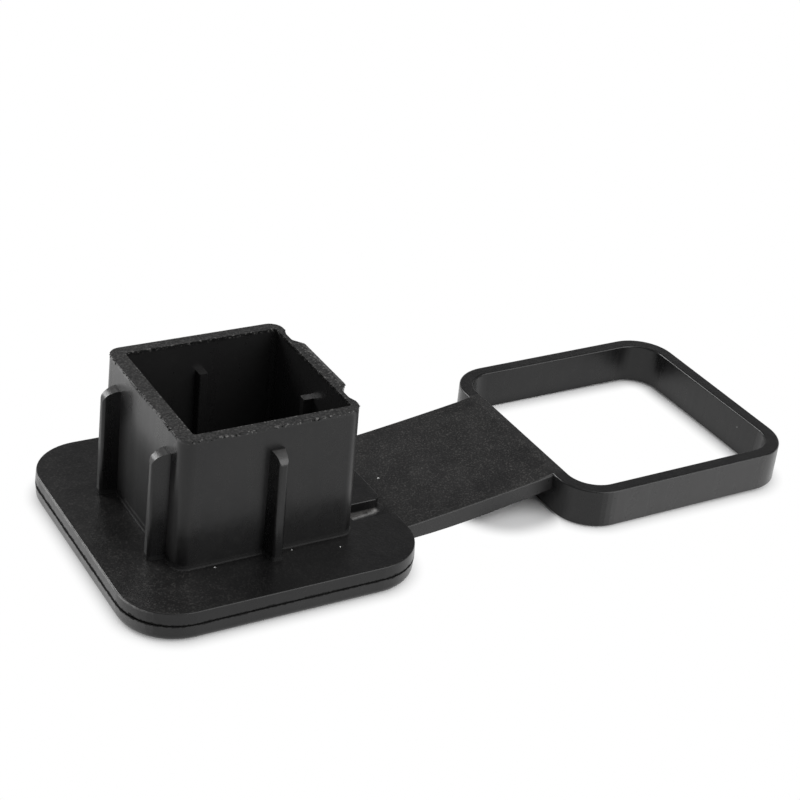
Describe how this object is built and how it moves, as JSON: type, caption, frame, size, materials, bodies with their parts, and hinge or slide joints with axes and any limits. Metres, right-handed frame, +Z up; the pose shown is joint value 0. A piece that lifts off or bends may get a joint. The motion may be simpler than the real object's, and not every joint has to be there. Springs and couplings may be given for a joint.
{
  "type": "hitch receiver cover",
  "caption": "Moulded rubber cover for a towing receiver: ribbed hollow square plug on a rounded flange, with a strap to a loop that goes round the receiver tube.",
  "frame": {"origin": "centre of the flange's flat front face, which lies on the floor", "axes": "+X runs along the strap towards the loop, +Z points up out of the flange along the plug, towards its open rim"},
  "size_m": [0.1928, 0.079, 0.0425],
  "materials": {
    "rubber": "satin to matt black moulded rubber with a fine grain and a little dust"
  },
  "bodies": {
    "root": {"cover": "rubber"}
  },
  "joints": []
}
